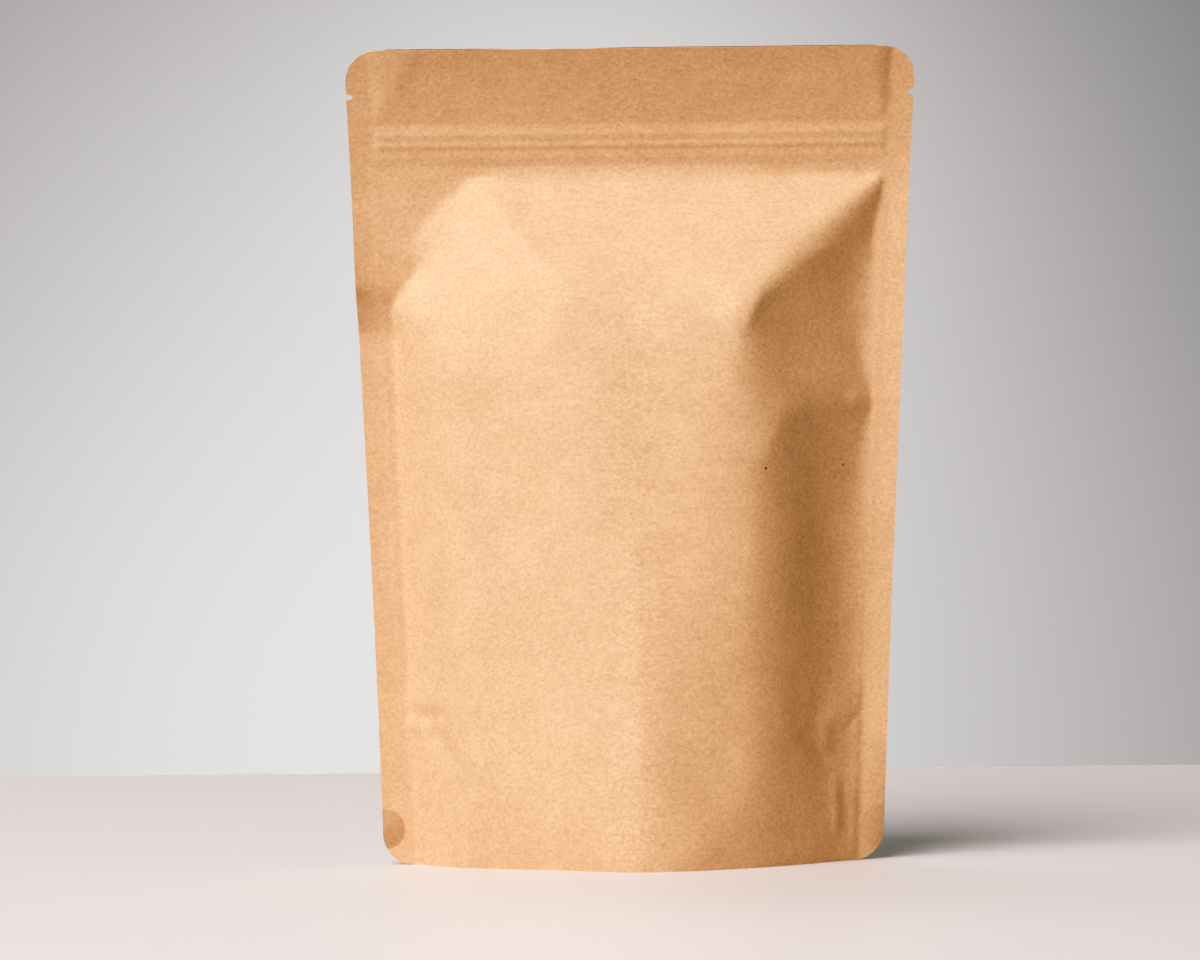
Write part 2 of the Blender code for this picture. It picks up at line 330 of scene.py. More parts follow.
@dataclass(frozen=True)
class SealEdge:
    """Inner edge of the side seals: a small bead that fades at the foot, beside pressed paper."""

    bead_rise: float = 0.10
    bead_width: float = 0.8
    press: float = 0.05
    press_overlap: float = 0.5
    foot_zone: Pair = (20.0, 60.0)
    zipper_fade: float = 4.0
    share_at_zipper: float = 0.4

    def rise_at(self, sizes: BagSizes, x: Array, z: Array) -> Array:
        """Return how far the seal's edge lifts the paper."""
        from_seal = sizes.half_width(z) - sizes.side_seal - np.abs(x)
        bead = self.bead_rise * np.exp(-((from_seal / self.bead_width) ** 2))
        pressed = -self.press * ease(self.press_overlap - from_seal)
        above_foot = ease((z - self.foot_zone[0]) / self.foot_zone[1])
        below_zipper = ease((sizes.zipper_foot - z) / self.zipper_fade)
        share = self.share_at_zipper + (1.0 - self.share_at_zipper) * below_zipper
        return (bead * above_foot + pressed) * share


@dataclass(frozen=True)
class Ripple:
    """Gentle unevenness of handled paper, as a few waves in seeded directions."""

    seed: int
    rise: float
    longest: float
    shortest: float
    waves: int = 14

    def rise_at(self, x: Array, z: Array) -> Array:
        """Return how far the waves lift the paper."""
        chance = np.random.default_rng(self.seed)
        total = np.zeros_like(x)
        for share in np.linspace(0.0, 1.0, self.waves):
            length = self.longest * (self.shortest / self.longest) ** share
            turn = chance.uniform(0.0, np.pi)
            phase = chance.uniform(0.0, 2.0 * np.pi)
            along = x * np.cos(turn) + z * np.sin(turn)
            total = total + length / self.longest * np.sin(2.0 * np.pi * along / length + phase)
        return self.rise * total / math.sqrt(self.waves)


@dataclass(frozen=True)
class PanelForm:
    """One side of the filled bag: its side profile, the facets that cut it, and its small folds.

    The toe is the width over which the filled paper rises off the flat paper round it. It is wider
    at the head, but not in the head's corners, and crisper at the tip of the overhang. A zone is
    given as its start and the width that it blends over.
    """

    shoulder_slope: float
    shoulder_top: float
    shoulder_soft: float
    belly: float
    belly_height: float
    belly_lean: float
    tuck: float
    facets: tuple[Facet | Hollow, ...]
    folds: tuple[Fold, ...]
    ripple: Ripple
    toe: float = 1.4
    head_toe: float = 3.0
    head_zone: Pair = (165.0, 15.0)
    corner_toe: float = 0.5
    corner_zone: Pair = (36.0, 12.0)
    tip: Pair = (76.5, 143.0)
    tip_reach: float = 6.0
    tip_crispness: float = 0.75
    rippled_depth: float = 6.0
    ripple_fade: float = 12.0
    over_zipper: float = 2.0
    zipper_blend: float = 3.0
    rise_off_seal: float = 2.0

    def crown(self, z: Array) -> Array:
        """Return the side profile of the filled panel, before its facets."""
        shoulder = self.shoulder_slope * (self.shoulder_top - z)
        belly = self.belly - self.belly_lean * (z - self.belly_height)
        tucked = self.tuck * np.clip(1.0 - z / self.belly_height, 0.0, 1.0) ** 2
        return smooth_min(shoulder, belly, self.shoulder_soft) - tucked

    def toe_at(self, x: Array, z: Array) -> Array:
        """Return the width over which the filled paper rises off the flat paper round it."""
        head = ease((z - self.head_zone[0]) / self.head_zone[1])
        corner = ease((np.abs(x) - self.corner_zone[0]) / self.corner_zone[1])
        at_head = self.head_toe + (self.corner_toe - self.head_toe) * corner
        off_tip = np.hypot(x - self.tip[0], z - self.tip[1]) / self.tip_reach
        crisper = 1.0 - self.tip_crispness * np.exp(-(off_tip**2))
        return (self.toe + (at_head - self.toe) * head) * crisper

    def depth(self, sizes: BagSizes, x: Array, z: Array) -> Array:
        """Return how far the panel stands out from the seal plane.

        Args:
            sizes: The bag's flat sizes.
            x: Places across the bag.
            z: Heights above the table.

        Returns:
            Depths, zero where the panels lie flat together.
        """
        depth = self.crown(z)
        for facet in self.facets:
            softness = np.interp(z, facet.soft_heights, facet.soft_widths)
            depth = smooth_min(depth, facet.depth_at(x, z), softness)
        rippled = ease(depth / self.rippled_depth)
        rippled = rippled * ease((sizes.zipper_foot - z) / self.ripple_fade)
        depth = depth + self.ripple.rise_at(x, z) * rippled
        creased = sum(fold.rise_at(x, z) for fold in self.folds)
        lifted = smooth_max(depth + creased, np.zeros_like(depth), self.toe_at(x, z))
        below_zipper = ease((sizes.zipper_foot + self.over_zipper - z) / self.zipper_blend)
        above_zipper = ease((z - sizes.zipper_top) / self.zipper_blend)
        relief = lifted * below_zipper + creased * above_zipper
        return relief * sizes.inside_seal(x, z, self.rise_off_seal)


FRONT_FORM = PanelForm(
    shoulder_slope=0.62,
    shoulder_top=216.4,
    shoulder_soft=7.5,
    belly=36.4,
    belly_height=40.0,
    belly_lean=0.072,
    tuck=0.0,
    facets=(
        # Left shoulder, flank, cheek and heel, and the broad face left of the middle ridge.
        Facet(-49.5, 216.2, 0.5, 0.41, -0.315, (150.0, 175.0), (3.5, 1.0)),
        Facet(-74.0, 160.0, 0.0, 1.06, 0.04, (0.0,), (4.0,)),
        Facet(-36.0, 135.0, 30.0, 0.54, -0.035, (0.0,), (3.0,)),
        Facet(-50.0, 20.0, 19.5, 0.41, 0.15, (0.0,), (2.0,)),
        Facet(0.0, 0.0, 37.3, 0.30, -0.04, (30.0, 150.0), (1.5, 7.0)),
        # Face right of the middle ridge, and the heel above the right foot corner.
        Facet(2.0, 0.0, 38.5, -0.31, 0.005, (0.0,), (5.5,)),
        Facet(36.0, 20.0, 33.2, -0.52, 0.24, (0.0,), (6.5,)),
        # Right flank, its hem along the seal, and the overhang at its head.
        Hollow(
            facets=(
                Facet(69.5, 100.0, -4.8, -1.26, 0.0),
                Facet(73.5, 100.0, -0.45, -0.36, 0.0),
                Facet(75.5, 140.0, 0.0, -0.78, 0.33),
            ),
            fold=7.0,
            soft_heights=(0.0, 80.0, 125.0, 133.0, 138.0),
            soft_widths=(15.6, 11.4, 8.0, 2.5, 1.2),
        ),
        # Right shoulder, dented between two facets.
        Hollow(
            facets=(
                Facet(79.8, 216.8, 1.1, -0.73, 0.20),
                Facet(39.0, 171.0, 22.7, -0.74, -0.17),
            ),
            fold=6.3,
            soft_heights=(130.0, 164.0, 169.0, 175.0, 181.0, 195.0, 214.0),
            soft_widths=(9.7, 3.0, 0.6, 0.6, 3.0, 7.0, 2.0),
        ),
    ),
    folds=(
        # Broad dents and ridges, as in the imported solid.
        Fold((-77.6, 182.0), (-69.5, 186.0), -2.3, 6.0),
        Fold((-49.0, 141.0), (-37.0, 108.5), -1.1, 9.0),
        Fold((31.5, 175.5), (41.0, 130.0), 0.8, 8.5),
        Fold((0.0, 170.0), (13.0, 99.0), -1.2, 12.0),
        Fold((79.0, 188.5), (76.0, 172.0), 2.3, 5.7),
        Fold((-73.0, 44.5), (-64.5, 51.0), 1.5, 8.0),
        Fold((-19.0, 39.0), (-6.5, 1.5), 0.9, 11.5),
        Fold((4.3, 32.0), (18.0, 6.0), 1.8, 11.5),
        Fold((58.0, 46.5), (63.0, 30.0), -1.0, 6.0),
        Fold((64.0, 44.0), (65.0, 49.0), 1.2, 7.5),
        Fold((60.5, 28.5), (59.0, 2.0), 1.4, 8.0),
        # Rims and steps of the bright left shoulder.
        Fold((-47.0, 211.5), (-20.0, 178.0), 0.3, 5.5),
        Fold((-22.7, 172.0), (-37.0, 137.0), 0.25, 5.4),
        Fold((-60.5, 208.0), (-69.5, 195.0), 1.05, 4.5),
        Fold((-57.5, 193.0), (-70.0, 187.5), -0.55, 4.3),
        Fold((-78.0, 177.0), (-67.0, 170.5), 0.7, 4.2),
        Fold((-74.5, 218.0), (-64.0, 213.6), 0.3, 2.8),
        # Puckers along the left seal.
        Fold((-72.5, 119.5), (-67.0, 120.7), 0.4, 3.2),
        Fold((-71.5, 97.0), (-64.0, 101.4), -0.3, 2.8),
        # Right shoulder's tip, the swelling below it and the overhang's tip.
        Fold((32.0, 171.0), (38.0, 178.0), 0.7, 4.5),
        Fold((77.6, 179.0), (79.3, 149.0), 0.4, 4.5),
        Fold((46.5, 141.5), (74.5, 145.0), 0.2, 4.4),
        Fold((43.8, 135.5), (51.0, 141.0), 0.2, 3.2),
        Fold((71.0, 145.5), (76.0, 142.8), 0.8, 2.8),
        # Right flank.
        Fold((53.0, 119.5), (53.0, 53.0), -0.3, 5.4),
        Fold((69.0, 115.0), (69.0, 66.5), 0.2, 3.7),
        # Heel on the right, then the crumpled paper above the right foot corner.
        Fold((40.5, 35.0), (23.5, 10.0), 0.3, 6.8),
        Fold((16.4, 33.5), (14.2, 21.7), -0.2, 5.7),
        Fold((49.8, 47.4), (53.3, 39.6), -0.4, 2.4, Profile.SHARP),
        Fold((53.3, 39.6), (59.5, 32.7), -1.1, 2.0, Profile.SHARP),
        Fold((59.5, 45.0), (62.0, 45.6), 0.5, 2.2),
        Fold((60.2, 42.0), (60.6, 37.0), 0.8, 2.0),
        Fold((72.6, 47.2), (67.1, 41.6), -0.6, 1.8, Profile.SHARP),
        Fold((67.1, 41.6), (67.0, 4.0), -0.12, 1.2, Profile.SHARP),
        Fold((63.4, 25.5), (63.7, 11.0), 0.9, 1.7, Profile.SHARP),
        Fold((65.0, 23.0), (67.2, 11.0), -0.5, 1.5),
        # Middle ridge, and the creases above the left foot corner.
        Fold((1.2, 100.0), (2.2, 2.0), 0.25, 3.0, Profile.SHARP),
        Fold((-71.5, 47.5), (-61.0, 47.5), -0.9, 2.6),
        Fold((-72.0, 44.0), (-66.5, 43.6), 0.5, 2.0),
        Fold((-64.0, 45.5), (-61.5, 40.5), -0.8, 2.4),
        Fold((-61.5, 40.5), (-55.0, 32.0), -0.8, 2.4),
        Fold((-59.0, 38.0), (-48.0, 6.5), 0.4, 6.5),
        # Creases in the header beside the left seal.
        Fold((-69.5, 253.0), (-77.5, 238.0), 0.28, 3.6),
        Fold((-66.8, 238.5), (-67.0, 233.5), -0.2, 1.2),
        Fold((77.6, 252.0), (78.6, 237.0), 0.5, 3.0),
        Fold((-75.5, 254.5), (-72.5, 250.5), -0.12, 0.9, Profile.SHARP),
    ),
    ripple=Ripple(seed=3, rise=0.10, longest=60.0, shortest=14.0),
)

BACK_FORM = PanelForm(
    shoulder_slope=0.50,
    shoulder_top=219.0,
    shoulder_soft=14.0,
    belly=36.0,
    belly_height=40.0,
    belly_lean=0.085,
    tuck=1.5,
    facets=(
        # Shoulders, flanks, cheeks and heels, with +X still to the right of the front.
        Facet(58.0, 215.0, 0.0, -0.40, -0.24, (150.0, 216.0), (7.0, 2.0)),
        Hollow(
            facets=(
                Facet(-79.0, 216.0, 0.0, 0.62, 0.20),
                Facet(-44.0, 172.0, 20.0, 0.58, -0.15),
            ),
            fold=4.0,
            soft_heights=(140.0, 172.0, 195.0, 214.0),
            soft_widths=(10.0, 3.0, 9.0, 2.0),
        ),
        Facet(74.5, 120.0, 0.0, -0.72, 0.0, (0.0,), (9.0,)),
        Facet(-74.0, 120.0, 0.0, 0.80, 0.0, (0.0,), (12.0,)),
        Facet(-7.0, 0.0, 36.2, -0.22, 0.02, (30.0, 150.0), (4.0, 9.0)),
        Facet(-7.0, 0.0, 36.2, 0.30, 0.02, (30.0, 150.0), (4.0, 9.0)),
        Facet(32.0, 0.0, 28.5, -0.62, 0.15),
        Facet(-34.0, 0.0, 28.0, 0.60, 0.15),
    ),
    folds=(
        Fold((60.0, 175.0), (42.0, 150.0), 0.8, 5.0),
        Fold((-66.0, 60.0), (-50.0, 30.0), -0.6, 4.0),
        Fold((66.0, 120.0), (66.0, 70.0), 0.5, 5.0),
        Fold((-72.0, 140.0), (-62.0, 128.0), -0.5, 4.0),
    ),
    ripple=Ripple(seed=8, rise=0.25, longest=70.0, shortest=16.0),
)


# ---- Finishes ----


@dataclass(frozen=True)
class NoiseLayer:
    """A layer of noise: its largest features in millimetres, wider than high, and its strength.

    The strength is the share by which it shades the paper either way, or a height in millimetres.
    """

    size: float
    stretch: float
    octaves: float
    roughness: float
    strength: float


@dataclass(frozen=True)
class KraftFinish:
    """Uncoated brown kraft paper: mottled fibres and a few dark specks, in millimetres."""

    colour: Triple = (0.60, 0.355, 0.217)
    roughness: float = 0.62
    specular: float = 0.35
    mottle: NoiseLayer = NoiseLayer(16.0, 1.3, 5.0, 0.95, 0.11)
    fibre: NoiseLayer = NoiseLayer(1.0, 1.2, 2.0, 0.9, 0.19)
    grain: NoiseLayer = NoiseLayer(0.8, 1.3, 2.0, 0.6, 0.02)
    speck_spacing: float = 15.0
    speck_radius: float = 0.28
    speck_core: float = 0.6
    speck_shade: float = 0.4


@dataclass(frozen=True)
class SpeckAndPaintedShade:
    """A darker round place in millimetres, with its shade factor. At the spot seals it is painted
    shade; the specks are the paper's own dark flecks.

    It shows on both panels, or on the front one only. Inside its core it has its full shade.
    """

    x: float
    z: float
    radius: float
    # At a spot seal this factor is painted shade; at a speck it is the speck's own darker colour.
    shade: float
    front_only: bool = False
    core: float = 0.95


@dataclass(frozen=True)
class PlainFinish:
    """A surface of one colour."""

    colour: Triple
    roughness: float
    metallic: float = 0.0


FOIL_LINER = PlainFinish((0.32, 0.34, 0.38), 0.34, 0.85)
TABLE_WHITE = PlainFinish((0.64, 0.595, 0.58), 0.45)
WALL_PALE = PlainFinish((0.19, 0.1905, 0.188), 0.9)
CARD_BLACK = PlainFinish((0.03, 0.03, 0.03), 0.9)


def new_material(name: str, values: dict[str, object]) -> Material:
    """Return a new material whose Principled BSDF node has these values."""
    material = bpy.data.materials.new(name)
    material.use_nodes = True
    shader = material.node_tree.nodes["Principled BSDF"]
    for socket, value in values.items():
        shader.inputs[socket].default_value = value
    return material


def plain_material(name: str, finish: PlainFinish) -> Material:
    """Make a surface of one colour."""
    colour = (*finish.colour, 1.0)
    values = {"Base Color": colour, "Roughness": finish.roughness, "Metallic": finish.metallic}
    return new_material(name, values)


class ShadeNodes:
    """The nodes of a group that works out shades from the object's own coordinates."""

    def __init__(self, name: str, outputs: tuple[str, ...]) -> None:
        """Make the group with its output values."""
        self.tree = bpy.data.node_groups.new(name, "ShaderNodeTree")
        for output in outputs:
            self.tree.interface.new_socket(output, in_out="OUTPUT", socket_type="NodeSocketFloat")
        self.output = self.tree.nodes.new("NodeGroupOutput")
        self.coordinates = self.tree.nodes.new("ShaderNodeTexCoord").outputs["Object"]

    def link(self, value: Socket, target: Socket) -> None:
        """Join two sockets."""
        self.tree.links.new(value, target)

    def noise(self, layer: NoiseLayer) -> Socket:
        """Add a layer of noise."""
        sizes = (layer.size * layer.stretch, layer.size, layer.size)
        mapping = self.tree.nodes.new("ShaderNodeMapping")
        mapping.inputs["Scale"].default_value = [1.0 / (size * MM) for size in sizes]
        noise = self.tree.nodes.new("ShaderNodeTexNoise")
        noise.inputs["Scale"].default_value = 1.0
        noise.inputs["Detail"].default_value = layer.octaves
        noise.inputs["Roughness"].default_value = layer.roughness
        self.link(self.coordinates, mapping.inputs["Vector"])
        self.link(mapping.outputs["Vector"], noise.inputs["Vector"])
        return noise.outputs[0]

    def specks(self, spacing: float) -> Socket:
        """Return the distance from scattered points, as a share of their spacing."""
        cells = self.tree.nodes.new("ShaderNodeTexVoronoi")
        cells.inputs["Scale"].default_value = 1.0 / (spacing * MM)
        self.link(self.coordinates, cells.inputs["Vector"])
        return cells.outputs["Distance"]

    def distance(self, x: float, z: float) -> Socket:
        """Return the distance in metres from a line through the bag at x and z in millimetres."""
        flatten = self.tree.nodes.new("ShaderNodeVectorMath")
        flatten.operation = "MULTIPLY_ADD"
        flatten.inputs[1].default_value = (1.0, 0.0, 1.0)
        flatten.inputs[2].default_value = (-x * MM, 0.0, -z * MM)
        length = self.tree.nodes.new("ShaderNodeVectorMath")
        length.operation = "LENGTH"
        self.link(self.coordinates, flatten.inputs[0])
        self.link(flatten.outputs["Vector"], length.inputs[0])
        return length.outputs["Value"]

    def depth(self) -> Socket:
        """Return the depth in metres, which is below 0 on the front panel."""
        split = self.tree.nodes.new("ShaderNodeSeparateXYZ")
        self.link(self.coordinates, split.inputs[0])
        return split.outputs["Y"]

    def graded(self, value: Socket, start: float, end: float, first: float, last: float) -> Socket:
        """Map a value onto another range, held beyond its ends.

        Args:
            value: The socket that gives the value.
            start: The value that becomes first.
            end: The value that becomes last.
            first: The result at the start.
            last: The result at the end.

        Returns:
            The socket of the result.
        """
        node = self.tree.nodes.new("ShaderNodeMapRange")
        names = ("From Min", "From Max", "To Min", "To Max")
        for name, amount in zip(names, (start, end, first, last)):
            node.inputs[name].default_value = amount
        self.link(value, node.inputs["Value"])
        return node.outputs["Result"]

    def combined(self, operation: str, values: list[Socket]) -> Socket:
        """Add or multiply all the values."""
        total = values[0]
        for value in values[1:]:
            node = self.tree.nodes.new("ShaderNodeMath")
            node.operation = operation
            self.link(total, node.inputs[0])
            self.link(value, node.inputs[1])
            total = node.outputs[0]
        return total


def fibre_and_painted_shade_group(finish: KraftFinish, specks_and_painted_shade: list[SpeckAndPaintedShade]) -> bpy.types.NodeTree:
    """Make the node group of the paper's fibres and specks, with painted shade at the spot seals: a
    shade factor and a height for the bump.

    Args:
        finish: Sizes and strengths of the mottling, the fibres and the scattered specks.
        specks_and_painted_shade: Darker round places.

    Returns:
        A group with the outputs Shade, about 1, and Height.
    """
    nodes = ShadeNodes("paper_fibres_and_painted_shade", ("Shade", "Height"))
    noise_low, noise_high = 0.25, 0.75
    rim = finish.speck_radius / finish.speck_spacing
    scattered = nodes.specks(finish.speck_spacing)
    shades = [nodes.graded(scattered, rim * finish.speck_core, rim, finish.speck_shade, 1.0)]
    for layer in (finish.mottle, finish.fibre):
        lightest, darkest = 1.0 + layer.strength, 1.0 - layer.strength
        shades.append(nodes.graded(nodes.noise(layer), noise_low, noise_high, darkest, lightest))
    # Spot seals darken the paper's colour here as painted shade; the specks are the paper's own
    # dark flecks.
    for mark in specks_and_painted_shade:
        off_middle = nodes.distance(mark.x, mark.z)
        rim = mark.radius * MM
        if mark.front_only:
            behind = nodes.graded(nodes.depth(), -MM, 0.0, 0.0, rim)
            off_middle = nodes.combined("ADD", [off_middle, behind])
        shades.append(nodes.graded(off_middle, rim * mark.core, rim, mark.shade, 1.0))
    nodes.link(nodes.combined("MULTIPLY", shades), nodes.output.inputs["Shade"])
    nodes.link(nodes.noise(finish.grain), nodes.output.inputs["Height"])
    return nodes.tree


def kraft_material(name: str, finish: KraftFinish, specks_and_painted_shade: list[SpeckAndPaintedShade]) -> Material:
    """Make the kraft paper, with painted shade at the spot seals.

    Args:
        name: The material's name.
        finish: Its colour, gloss and fibre sizes.
        specks_and_painted_shade: Darker round places.

    Returns:
        The material.
    """
    values = {"Roughness": finish.roughness, "Specular IOR Level": finish.specular}
    material = new_material(name, values)
    tree = material.node_tree
    shader = tree.nodes["Principled BSDF"]
    fibres = tree.nodes.new("ShaderNodeGroup")
    fibres.node_tree = fibre_and_painted_shade_group(finish, specks_and_painted_shade)
    tint = tree.nodes.new("ShaderNodeVectorMath")
    tint.operation = "SCALE"
    tint.inputs[0].default_value = finish.colour
    bump = tree.nodes.new("ShaderNodeBump")
    bump.inputs["Strength"].default_value = 1.0
    bump.inputs["Distance"].default_value = finish.grain.strength * MM
    tree.links.new(fibres.outputs["Shade"], tint.inputs["Scale"])
    tree.links.new(tint.outputs["Vector"], shader.inputs["Base Color"])
    tree.links.new(fibres.outputs["Height"], bump.inputs["Height"])
    tree.links.new(bump.outputs["Normal"], shader.inputs["Normal"])
    return material


# ---- The bag's pieces ----


Place = Callable[[Array, Array], Points]
SMOOTH_BELOW_DEGREES = 50.0


def added(operator: Callable, name: str, **settings: object) -> Object:
    """Add an object with one of Blender's operators, and name it."""
    bpy.ops.object.select_all(action="DESELECT")
    operator(**settings)
    bpy.context.object.name = name
    return bpy.context.object


def apply_modifier(thing: Object, kind: str, **settings: object) -> None:
    """Give an object a modifier with these settings, and apply it."""
    bpy.ops.object.select_all(action="DESELECT")
    thing.select_set(True)
    bpy.context.view_layer.objects.active = thing
    modifier = thing.modifiers.new(kind.lower(), kind)
    for setting, value in settings.items():
        setattr(modifier, setting, value)
    bpy.ops.object.modifier_apply(modifier=modifier.name)


def placed_grid(name: str, columns: int, rows: int, place: Place) -> Object:
    """Add a grid and move each of its points.

    Args:
        name: The object's name.
        columns: Faces across.
        rows: Faces up.
        place: Gives x, y and z in millimetres from the points' columns and rows.

    Returns:
        The shaped object, at the origin.
    """
    divisions = {"x_subdivisions": columns, "y_subdivisions": rows}
    grid = added(bpy.ops.mesh.primitive_grid_add, name, size=2.0, **divisions)
    grid.data.name = name
    points = np.empty(len(grid.data.vertices) * 3)
    grid.data.vertices.foreach_get("co", points)
    points = points.reshape(-1, 3)
    column = np.rint((points[:, 0] + 1.0) / 2.0 * columns).astype(int)
    row = np.rint((points[:, 1] + 1.0) / 2.0 * rows).astype(int)
    shaped = np.stack(place(column, row), axis=1) * MM
    grid.data.vertices.foreach_set("co", shaped.ravel())
    grid.data.update()
    return grid


def make_sheet(grid: Object, ply: float, outside: Material, inside: Material) -> None:
    """Give a grid the thickness of one ply, towards its back, with its own material inside."""
    grid.data.materials.append(outside)
    grid.data.materials.append(inside)
    offsets = {"offset": -1.0, "use_even_offset": False, "material_offset": 1}
    apply_modifier(grid, "SOLIDIFY", thickness=ply * MM, material_offset_rim=0, **offsets)
    grid.data.shade_smooth()
    grid.data.set_sharp_from_angle(angle=math.radians(SMOOTH_BELOW_DEGREES))


@dataclass(frozen=True)
class PanelDetail:
    """How finely a panel's grid is divided, as the greatest spacing in each zone."""

    field: float = 1.25
    edge: float = 0.8
    edge_zone: float = 12.0
    zipper: float = 0.4
    zipper_below: float = 3.0
    zipper_above: float = 2.0
    notch: float = 0.25
    notch_zone: float = 1.5
    corner_rows: int = 12


@dataclass(frozen=True)
class GussetDetail:
    """How finely the gusset is divided, and its small clearances."""

    columns: int = 150
    flange_rows: int = 24
    floor_rows: int = 24
    from_seal: float = 0.6
    behind_skirt: float = 0.6
    above_table: float = 0.25
    half_gap: float = 0.15
    sag: float = 0.10


@dataclass
class Pouch:
    """The filled bag: front panel, back panel and bottom gusset."""

    sizes: BagSizes
    front: PanelForm = FRONT_FORM
    back: PanelForm = BACK_FORM
    # The last value of each spot seal is painted shade, darkening the paper's colour inside its
    # rim.
    spot_seals: tuple[SpotSeal, ...] = (
        SpotSeal(-1.0, 11.2, 6.4, 1.2, 0.74),
        SpotSeal(1.0, 10.5, 7.0, 0.4, 0.88),
    )
    bends: tuple[EdgeBend, ...] = (
        EdgeBend(-1.0, 40.0, (90.0, 168.0, 182.0, 213.0, 256.0), (0.0, 1.0, 4.4, 3.5, 0.5)),
        EdgeBend(-1.0, 10.0, (0.0,), (0.5,)),
        EdgeBend(-1.0, 22.0, (165.0, 181.0, 196.0, 212.0), (0.0, 2.4, 1.4, 0.0)),
        EdgeBend(
            1.0, 13.0, (0.0, 14.0, 28.0, 38.0, 150.0, 256.0), (-3.8, -3.0, -0.9, 0.3, 0.6, 1.0)
        ),
    )
    specks: tuple[SpeckAndPaintedShade, ...] = (
        SpeckAndPaintedShade(41.3, 123.7, 0.4, 0.25, front_only=True),
        SpeckAndPaintedShade(66.4, 124.7, 0.35, 0.45, front_only=True),
    )
    seal_edge: SealEdge = SealEdge()

    def __post_init__(self) -> None:
        """Find the seal plane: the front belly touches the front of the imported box."""
        belly_half, stations = 60.0, 200
        heights = np.linspace(0.0, self.sizes.zipper_foot, stations)
        across = np.linspace(-belly_half, belly_half, stations)
        x, z = np.meshgrid(across, heights)
        reach = self.front.depth(self.sizes, x, z).max() + self.sizes.ply
        self.seal_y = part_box(NODE)[0][1] / MM + reach

    def row_heights(self, detail: PanelDetail, top: float) -> Array:
        """Find the heights of a panel's rows, closest at its corners, zipper and notches.

        Args:
            detail: How finely the panel is divided.
            top: Height of its straight top edge.

        Returns:
            The heights, from the foot up.
        """
        sizes = self.sizes
        turn = np.linspace(0.0, np.pi / 2, detail.corner_rows + 1)
        foot = sizes.foot_corner_radius * (1.0 - np.cos(turn))[:-1]
        zipper_zone = sizes.zipper_foot - detail.zipper_below
        header = sizes.zipper_top + detail.zipper_above
        notch_foot = sizes.height - sizes.notch_drop - detail.notch_zone
        notch_head = sizes.height - sizes.notch_drop + detail.notch_zone
        corner = top - sizes.top_corner_radius
        return np.concatenate(
            [
                foot,
                spaced(sizes.foot_corner_radius, zipper_zone, detail.field),
                spaced(zipper_zone, header, detail.zipper),
                spaced(header, notch_foot, detail.field),
                spaced(notch_foot, notch_head, detail.notch),
                spaced(notch_head, corner, detail.edge),
                top - sizes.top_corner_radius * (1.0 - np.sin(turn)),
            ]
        )

    def column_place(self, detail: PanelDetail, top: float) -> tuple[Array, Callable]:
        """Find where the panel's columns stand.

        Stations within 1 lie on the panel's field. Beyond it they run out to the edge, which
        carries the rounded corners and the tear notches.

        Args:
            detail: How finely the panel is divided.
            top: Height of its straight top edge.

        Returns:
            The stations, and a function that turns them into x.
        """
        sizes = self.sizes
        middle = sizes.half_width(np.array(sizes.height / 2)) - detail.edge_zone
        field_half = spaced(0.0, 1.0, detail.field / middle)
        edge_half = 1.0 + np.append(spaced(0.0, 1.0, detail.edge / detail.edge_zone), 1.0)
        half = np.concatenate([field_half, edge_half])
        stations = np.concatenate([-half[:0:-1], half])

        def x_at(station: Array, z: Array) -> Array:
            """Return x of the stations at their heights."""
            field_width = sizes.half_width(z) - detail.edge_zone
            edge = sizes.half_width(z) - sizes.corner_inset(z, top) - sizes.notch_inset(z)
            reach = np.abs(station)
            beyond = np.clip(reach - 1.0, 0.0, 1.0) * (edge - field_width)
            return np.sign(station) * (np.minimum(reach, 1.0) * field_width + beyond)

        return stations, x_at

    def zipper_relief(self, x: Array, z: Array) -> Array:
        """Return the thickness that the zipper's flange and profile add to each panel."""
        sizes = self.sizes
        end_blend = 2.0
        relief = np.interp(sizes.height - z, sizes.zipper_drops, sizes.zipper_lifts)
        return relief * sizes.inside_seal(x, z, end_blend)

    def spot_seal_relief(self, x: Array, z: Array) -> Array:
        """Return how far the spot seals lift the foot corners forward."""
        return sum(spot.rise_at(self.sizes, x, z) for spot in self.spot_seals)

    def warp(self, x: Array, z: Array) -> Array:
        """Return how far both panels together curve forward, at the bag's head and side edges."""
        return self.curl(z) + sum(bend.forward_at(self.sizes, x, z) for bend in self.bends)

    def curl(self, z: Array) -> Array:
        """Return how far the head of the bag curls forward, from below the zipper up."""
        sizes = self.sizes
        share = np.clip((z - sizes.height) / sizes.curl_foot_drop + 1.0, 0.0, 1.0)
        return sizes.curl_forward * share**sizes.curl_power

    def mouth(self, x: Array, z: Array) -> Array:
        """Return how far the front panel stands off the back one above the zipper."""
        sizes = self.sizes
        off_seal = (sizes.half_width(z) - sizes.side_seal - np.abs(x)) / sizes.mouth_blend
        across = 1.0 - (1.0 - np.clip(off_seal, 0.0, 1.0)) ** 2
        upwards = np.clip((z - sizes.zipper_top) / sizes.mouth_run, 0.0, 1.0)
        return sizes.mouth_bulge * across * upwards

    def panel_out(self, form: PanelForm, x: Array, z: Array) -> Array:
        """Return how far a panel's outer face stands out from the seal plane."""
        out = self.sizes.ply + form.depth(self.sizes, x, z) + self.zipper_relief(x, z)
        return out + self.seal_edge.rise_at(self.sizes, x, z)

    def front_y(self, x: Array, z: Array) -> Array:
        """Return y of the front panel's outer face."""
        out = self.panel_out(self.front, x, z) + self.mouth(x, z)
        return self.seal_y - out - self.spot_seal_relief(x, z) - self.warp(x, z)

    def back_y(self, x: Array, z: Array) -> Array:
        """Return y of the back panel's outer face."""
        out = self.panel_out(self.back, x, z)
        return self.seal_y + out - self.spot_seal_relief(x, z) - self.warp(x, z)

    def sway(self, z: Array) -> Array:
        """Return how far the bag leans to its right, about the middle of its height."""
        return self.sizes.sideways * (z / self.sizes.height - 0.5)

